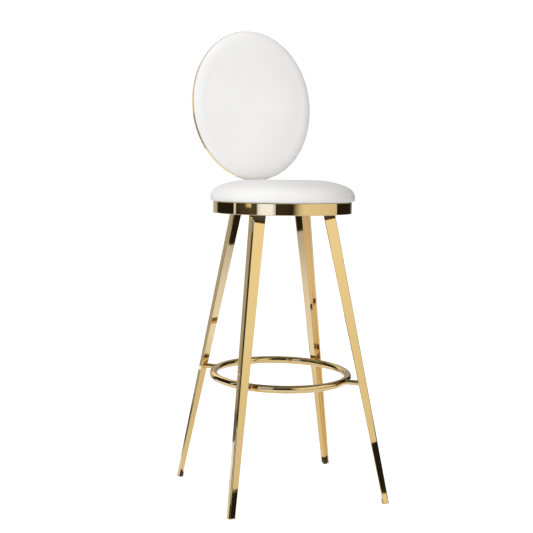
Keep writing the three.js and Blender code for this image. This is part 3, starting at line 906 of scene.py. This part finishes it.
def build_rear_panel():
    local = BACK.local("back_rear_panel")
    z0, z1 = local[:, 2].min(), local[:, 2].max()
    inset = RIM_WALL + 0.2 * MM
    section = fillet([(40 * MM, z1), (inset, z1), (inset, z0), (40 * MM, z0)], [0, 0.3 * MM, 1.2 * MM, 0],
                     6, closed=False)
    rings = [[BACK.spot(0, 0, z1)]] + [BACK.ring(i, z, 224) for i, z in section]
    rings += [BACK.ring(i, z0, 224, smoothstep(i / BACK.a)) for i in (70 * MM, 100 * MM, 130 * MM, 152 * MM)]
    mesh = make_mesh("rear_panel", *loft(rings + [[BACK.spot(0, 0, z0)]], caps=False), 50)
    mark_tuck_shade(mesh, lambda c: 0.0)
    panel = piece("rear_panel", mesh, LEATHER, ["back_rear_panel"])

    # welt cord sewn round the panel, just inside the band
    welt = make_mesh("rear_welt", *tube(BACK.ring(inset + 3.4 * MM, z0 + 1.0 * MM, 360), 1.15 * MM, 12))
    # a small even share of the same darkening over the whole welt
    mark_tuck_shade(welt, lambda c: 0.15)
    piece("rear_welt", welt, LEATHER)


def build_cover():
    lo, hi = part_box("seat_dust_cover")
    r, thick = (hi.x - lo.x) / 2, 0.45 * MM
    base_z = hi.z - thick
    staples, n, rows = 16, 192, 34

    def sag(radius, a):
        share = radius / r
        wrinkle = 0.18 * MM * math.sin(a * staples * 2 + 1.0) * share ** 6 * (1 - share ** 20)
        return -(1.6 * MM * (1 - share ** 2) ** 1.2) + wrinkle - 0.15 * MM

    def layer(drop):
        rings = []
        for radius in (r * k / rows for k in range(rows, 0, -1)):
            turns = (2 * math.pi * i / n for i in range(n))
            rings.append([round_axis(radius, a, base_z + sag(radius, a) + drop) for a in turns])
        return rings + [[(AXIS.x, AXIS.y, base_z + sag(0, 0) + drop)]]

    skin = loft(layer(thick)[::-1] + layer(0.0), caps=False)
    cloth = piece("dust_cover_cloth", skin, COVER, ["seat_dust_cover"], sharp=60)

    verts, faces = [], []
    for k in range(staples):
        a = 2 * math.pi * k / staples
        spot = Vector(round_axis(r - 6 * MM, a))
        tangent = Vector((-math.sin(a + 0.3), math.cos(a + 0.3), 0))
        z = base_z + sag(r - 6 * MM, a) - 0.25 * MM
        wire = [spot + tangent * (x * MM) + Vector((0, 0, z + lift * MM)) for x, lift in
                ((-4.6, 1.3), (-4.6, 0.35), (-4.3, 0.0), (4.3, 0.0), (4.6, 0.35), (4.6, 1.3))]
        v, f = tube(wire, 0.35 * MM, 8, closed=False)
        faces.extend(tuple(i + len(verts) for i in face) for face in f)
        verts.extend(v)
    wires = piece("dust_cover_staples", (verts, faces), STEEL)


# --------------------------------------------------------------------- assembly

build_hoop()
for leg in LEGS:
    build_leg(leg)
    build_glide(leg)
build_rest()
build_rim()
build_strap()
build_seat()
build_back_pad()
build_rear_panel()
build_cover()

SCREW = screw_mesh()
for node in sorted(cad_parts):
    if node.startswith("seat_screw_"):
        lo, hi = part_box(node)
        spot = Vector(((lo.x + hi.x) / 2, (lo.y + hi.y) / 2, lo.z + SCREW_HEAD))
        turn = Matrix.Rotation(0.7 * (sum(map(ord, node)) % 9), 4, "Z")
        piece(f"pan_{node}", SCREW, STEEL, [node], place=Matrix.Translation(spot) @ turn)
    if node.startswith("back_screw_"):
        local = BACK.local(node)
        spot = Vector((0, (local[:, 1].min() + local[:, 1].max()) / 2, local[:, 2].min() + SCREW_HEAD))
        turn = Matrix.Rotation(0.5 * int(node[-1]), 4, "Z")
        piece(f"pan_{node}", SCREW, STEEL, [node], place=BACK.place @ Matrix.Translation(spot) @ turn)
for node in ("seat_board", "back_board"):
    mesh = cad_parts[node].data
    mesh.materials.clear()
    mesh.materials.append(PLYWOOD)


# ------------------------------------------------------------ camera and studio

FLOOR_SIZE = 60
FLOOR_GLOW = 0.25       # what lights the stool from below
FLOOR_GLOW_SEEN = 0.62  # and what the camera sees
DARK_FLOOR_R = 45.0
DARK_FLOOR_GLOW = (0.02, 0.017, 0.014)
# the paper glows: its light stands for lit paper, dimmer near the axis as a painted shadow of the stool
PAPER_GLOW = (          # distance from the stool's axis, and the light there
    (0.0, (0.80, 0.80, 0.82)),
    (0.4, (0.82, 0.83, 0.90)),
    (0.7, (0.97, 1.05, 1.50)),
    (1.2, (0.86, 0.95, 1.42)),
    (1.8, (0.58, 0.63, 0.90)),
    (2.3, (0.50, 0.52, 0.70)),
)
PAPER_CORNER, PAPER_FAR_END = Vector((0.44, -1.546)), Vector((0.90, -1.755))    # of its cut edge
WARMTH = (1.0, 0.957, 0.82)         # colour of all the light that polished metal sees

HEADING = math.radians(20.29)       # the camera looks this far to the right of +Y
PITCH = math.radians(5.10)          # and this far down
ROLL = math.radians(0.60)
CAMERA_BEARING = math.radians(21.05)
CAMERA_DISTANCE = 2.7984            # from the stool's axis
CAMERA_HEIGHT = 0.8006
LENS = 77.87
LEFT = Vector((-math.cos(HEADING), math.sin(HEADING), 0))       # as the camera sees it
FRONT = Vector((-math.sin(HEADING), -math.cos(HEADING), 0))
UP = Vector((0, 0, 1))


def build_camera():
    data = bpy.data.cameras.new("camera")
    data.lens, data.sensor_width = LENS, 36.0
    cam = add_object("camera", data)
    ahead = -FRONT * math.cos(PITCH) - UP * math.sin(PITCH)
    up = -FRONT * math.sin(PITCH) + UP * math.cos(PITCH)
    x = -LEFT * math.cos(ROLL) + up * math.sin(ROLL)
    y = up * math.cos(ROLL) + LEFT * math.sin(ROLL)
    spot = Vector((AXIS.x - CAMERA_DISTANCE * math.sin(CAMERA_BEARING),
                   AXIS.y - CAMERA_DISTANCE * math.cos(CAMERA_BEARING), CAMERA_HEIGHT))
    cam.matrix_world = Matrix.Translation(spot) @ Matrix((x, y, -ahead)).transposed().to_4x4()
    bpy.context.scene.camera = cam


def glow_material():
    """Light of the colour stored at each point of the mesh."""
    mat = bpy.data.materials.new("studio_glow")
    mat.use_nodes = True
    mat.node_tree.nodes.clear()
    stored = add_node(mat.node_tree, "Attribute")
    stored.attribute_name = "glow"
    glow = add_node(mat.node_tree, "Emission", {"Color": stored.outputs["Color"]})
    add_node(mat.node_tree, "OutputMaterial", {"Surface": glow.outputs[0]})
    return mat


GLOW = glow_material()


def stage_object(name, verts, faces, material, glow=None):
    """Part of the studio; with a glow at each point it is a board that only polished metal sees."""
    mesh = bpy.data.meshes.new(name)
    mesh.from_pydata([tuple(v) for v in verts], [], faces)
    mesh.materials.append(material)
    obj = add_object(name, mesh)
    if glow is not None:
        flat = [c for colour in glow for c in (*(a * b for a, b in zip(colour, WARMTH)), 1.0)]
        mesh.attributes.new("glow", "FLOAT_COLOR", "POINT").data.foreach_set("color", flat)
        obj.visible_camera = obj.visible_diffuse = obj.visible_shadow = False
        obj.visible_transmission = obj.visible_volume_scatter = False


def between(stops, x):
    return float(np.interp(x, [s[0] for s in stops], [s[1] for s in stops]))


def grid(columns, rows):
    """Faces between columns of points."""
    return [(k * rows + j, (k + 1) * rows + j, (k + 1) * rows + j + 1, k * rows + j + 1)
            for k in range(columns - 1) for j in range(rows - 1)]


def from_camera(angle, radius, z):
    """The point this many degrees to the right of the camera, seen from the stool's axis."""
    a = math.radians(angle) - HEADING
    return AXIS.x + radius * math.sin(a), AXIS.y - radius * math.cos(a), z


def card(name, stops, z0, z1, strength, tint=(1, 1, 1), radius=2.4, knee=None):
    """A reflector standing round the stool. Stops are angles in degrees to the right of the camera,
    with the share of the strength there; z0 may be such stops too, with the height of the lower edge.
    Knee is a height and the share that the strength falls to below it, at the lower edge."""
    first, last = stops[0][0], stops[-1][0]
    steps = max(2, int((last - first) / 3))
    height, share_low = knee or (0.0, 1.0)
    verts, glow = [], []
    for k in range(steps + 1):
        angle = first + (last - first) * k / steps
        low = between(z0, angle) if isinstance(z0, list) else z0
        level = between(stops, angle)
        for z, share in ((low, share_low), (max(low, height), 1.0), (z1, 1.0)):
            verts.append(from_camera(angle, radius, z))
            glow.append([level * share * strength * c for c in tint])
    stage_object(name, verts, grid(steps + 1, 3), GLOW, glow)


def ring_sheet(name, span, rows):
    """A flat board round part of the stool; rows are [radius, height, glow]."""
    bearings = range(span[0], span[1] + 1, 2)
    verts = [from_camera(bearing, r, z) for bearing in bearings for r, z, _ in rows]
    glow = [[level] * 3 for _ in bearings for _, _, level in rows]
    stage_object(name, verts, grid(len(bearings), len(rows)), GLOW, glow)


def build_floor():
    f = Finish("studio_floor", Roughness=0.9, Specular_IOR_Level=0.2, Emission_Color=(1, 1, 1, 1))
    f.feed("Base Color", f.tint(f.noise(3, 2), (0.90, 0.90, 0.90), (0.93, 0.93, 0.93)))
    seen = f.add("LightPath").outputs["Is Camera Ray"]
    f.feed("Emission Strength", f.span(seen, FLOOR_GLOW, FLOOR_GLOW_SEEN, (0.0, 1.0)))
    size = FLOOR_SIZE
    stage_object("floor", [(-size, -size, 0), (size, -size, 0), (size, size, 0), (-size, size, 0)],
                 [(0, 1, 2, 3)], f.material)


def build_paper():
    """A glowing sheet that stands for lit pale paper under and round the stool, with its corner cut off in
    front; dimmer in the middle as a painted shadow of the stool.
    """
    edge = (PAPER_FAR_END - PAPER_CORNER).normalized()
    normal = Vector((edge.y, -edge.x))
    start = math.atan2(PAPER_CORNER.y, PAPER_CORNER.x)
    turns, verts, glow = 240, [], []
    for k in range(turns + 1):
        a = start + 2 * math.pi * k / turns
        reach = PAPER_GLOW[-1][0]
        facing = math.cos(a) * normal.x + math.sin(a) * normal.y
        if 0 < k < turns / 4 and facing > 0:
            reach = min(reach, PAPER_CORNER.dot(normal) / facing)
        for r in (min(radius, reach) for radius, _ in PAPER_GLOW):
            verts.append(round_axis(r, a, 0.003))
            glow.append([between([(stop, colour[c]) for stop, colour in PAPER_GLOW], r) for c in range(3)])
    stage_object("paper", verts, grid(turns + 1, len(PAPER_GLOW)), GLOW, glow)


def build_boards():
    """What the polished metal sees: paper, the dark studio beyond it, and bright boards."""
    stage_object("dark_studio_floor", circle(DARK_FLOOR_R, 64, AXIS[:2], 0.002), [tuple(range(64))], GLOW,
                 [DARK_FLOOR_GLOW] * 64)
    build_paper()

    # behind on the left: a dim patch of floor that the outer sides of the legs see, and over it a
    # bright sheet that only the rim of the back looks down on
    ring_sheet("dim_floor_left", (204, 234), [(0.5, 0.005, 0.75), (0.95, 0.005, 0.16), (1.80, 0.005, 0.16),
                                              (2.05, 0.005, 0.36), (2.39, 0.005, 0.36)])
    ring_sheet("sheet_left", (196, 232), [(0.60, 0.260, 1.35), (2.30, 0.115, 1.35)])

    card("board_right_front",
         [(16.5, 0.1), (20, 0.28), (24, 0.6), (29, 0.86), (36, 1.0), (78, 0.95), (97, 0.85)],
         [(16.5, 0.06), (33, 0.205), (47, 0.333), (60, 0.42), (97, 0.50)], 3.0, 1.06, knee=(1.4, 0.80))
    # low for the hoop and high for the rim; the corner of the front left leg looks between them
    for name, z0, z1 in (("board_left_front", 0.35, 0.665), ("board_left_front_high", 1.55, 2.6)):
        card(name, [(-41.5, 0.4), (-38, 0.9), (-33, 1.0), (-16, 1.0), (-11, 0.4)], z0, z1, 2.6,
             (0.44, 0.54, 1.0))
    card("strip_left", [(-84.5, 1.0), (-80, 0.7)], 0.54, 2.4, 1.5, (0.66, 0.74, 1.0))
    card("room_left", [(-78, 0.6), (-66, 1.0), (-43, 1.3)], 0.1, 2.4, 0.07, (1, 0.86, 0.80), radius=2.5)
    card("room_front", [(-9.5, 1.2), (16, 0.8)], 0.1, 2.4, 0.04, (1, 0.86, 0.80), radius=2.5)
    card("lamp_left", [(-62, 0.2), (-58, 0.8), (-53, 1.0), (-50, 0.3)], 0.615, 0.9, 0.9, (1, 0.93, 0.80))
    card("backdrop_low", [(150, 0.5), (186, 0.6), (200, 1.0), (214, 1.0), (227, 0.8)], 0.0, 0.9, 0.52)
    card("backdrop_high", [(150, 0.4), (186, 0.4), (194, 1.0), (227, 1.0)], 0.9, 3.0, 1.05)
    card("low_card", [(42, 1.0), (60, 1.0)], 0.02, 0.118, 0.95)


def build_world():
    """White for the camera, a dark room with a pale ceiling for polished metal, and for all else soft
    light that comes mostly from the front left."""
    world = bpy.data.worlds.new("studio")
    bpy.context.scene.world = world
    world.use_nodes = True
    tree = world.node_tree
    tree.nodes.clear()
    path = add_node(tree, "LightPath").outputs
    where = add_node(tree, "TexCoord").outputs["Generated"]

    def along(direction, lo, hi, from_lo, from_hi):
        """From lo to hi as the view turns towards this direction; the last two are cosines."""
        dot = add_node(tree, "VectorMath")
        dot.operation = "DOT_PRODUCT"
        dot.inputs[1].default_value = Vector(direction).normalized()
        tree.links.new(where, dot.inputs[0])
        span = add_node(tree, "MapRange", {"Value": dot.outputs["Value"]}, From_Min=from_lo,
                        From_Max=from_hi, To_Min=lo, To_Max=hi)
        span.interpolation_type = "SMOOTHSTEP"
        return span.outputs["Result"]

    def choose(ray, other, this):
        return add_node(tree, "MixShader", {0: path[ray], 1: other.outputs[0], 2: this.outputs[0]})

    key = LEFT * 0.52 + FRONT * 0.85 + UP * 0.12
    warm = add_node(tree, "ValToRGB", {"Fac": along(key, 0.0, 1.0, -0.8, 0.4)})
    warm.color_ramp.elements[0].color = (1.0, 0.94, 0.84, 1)
    warm.color_ramp.elements[1].color = (1.0, 1.0, 1.0, 1)
    soft = add_node(tree, "Background", {"Color": warm.outputs["Color"],
                                         "Strength": along(key, 0.03, 1.48, -0.45, 1.0)})
    room = add_node(tree, "Background", {"Strength": along(UP, 0.02, 0.30, 0.55, 0.85)})
    sky = add_node(tree, "Background", Color=(1, 1, 1, 1), Strength=1.05)
    seen = choose("Is Camera Ray", choose("Is Glossy Ray", soft, room), sky)
    add_node(tree, "OutputWorld", {"Surface": seen.outputs[0]})


def lamp(name, kind, spot, aim, power):
    """A lamp that lights the stool but isn't seen in polished metal; both places are from the axis."""
    data = bpy.data.lights.new(name, kind)
    data.energy = power
    obj = add_object(name, data)
    obj.location = AXIS + spot
    obj.rotation_euler = (AXIS + aim - obj.location).to_track_quat("-Z", "Y").to_euler()
    obj.visible_camera = obj.visible_glossy = False
    return data


def build_lamps():
    for name, spot, power in (("key", LEFT * 1.9 + FRONT * 1.6 + UP * 2.0, 0.5), ("top", UP * 2.8, 8)):
        softbox = lamp(name, "AREA", spot, UP * 0.6, power)
        softbox.shape, softbox.size = "DISK", 1.6

    # on the lower part of the back
    fill = lamp("fill", "SPOT", FRONT * 1.6 + UP * 0.98, UP * 0.85 - FRONT * 0.16, 12.5)
    fill.spot_size, fill.spot_blend, fill.shadow_soft_size = math.radians(15), 1.0, 0.08


build_camera()
build_floor()
build_boards()
build_world()
build_lamps()
bpy.context.scene.view_settings.view_transform = "Standard"
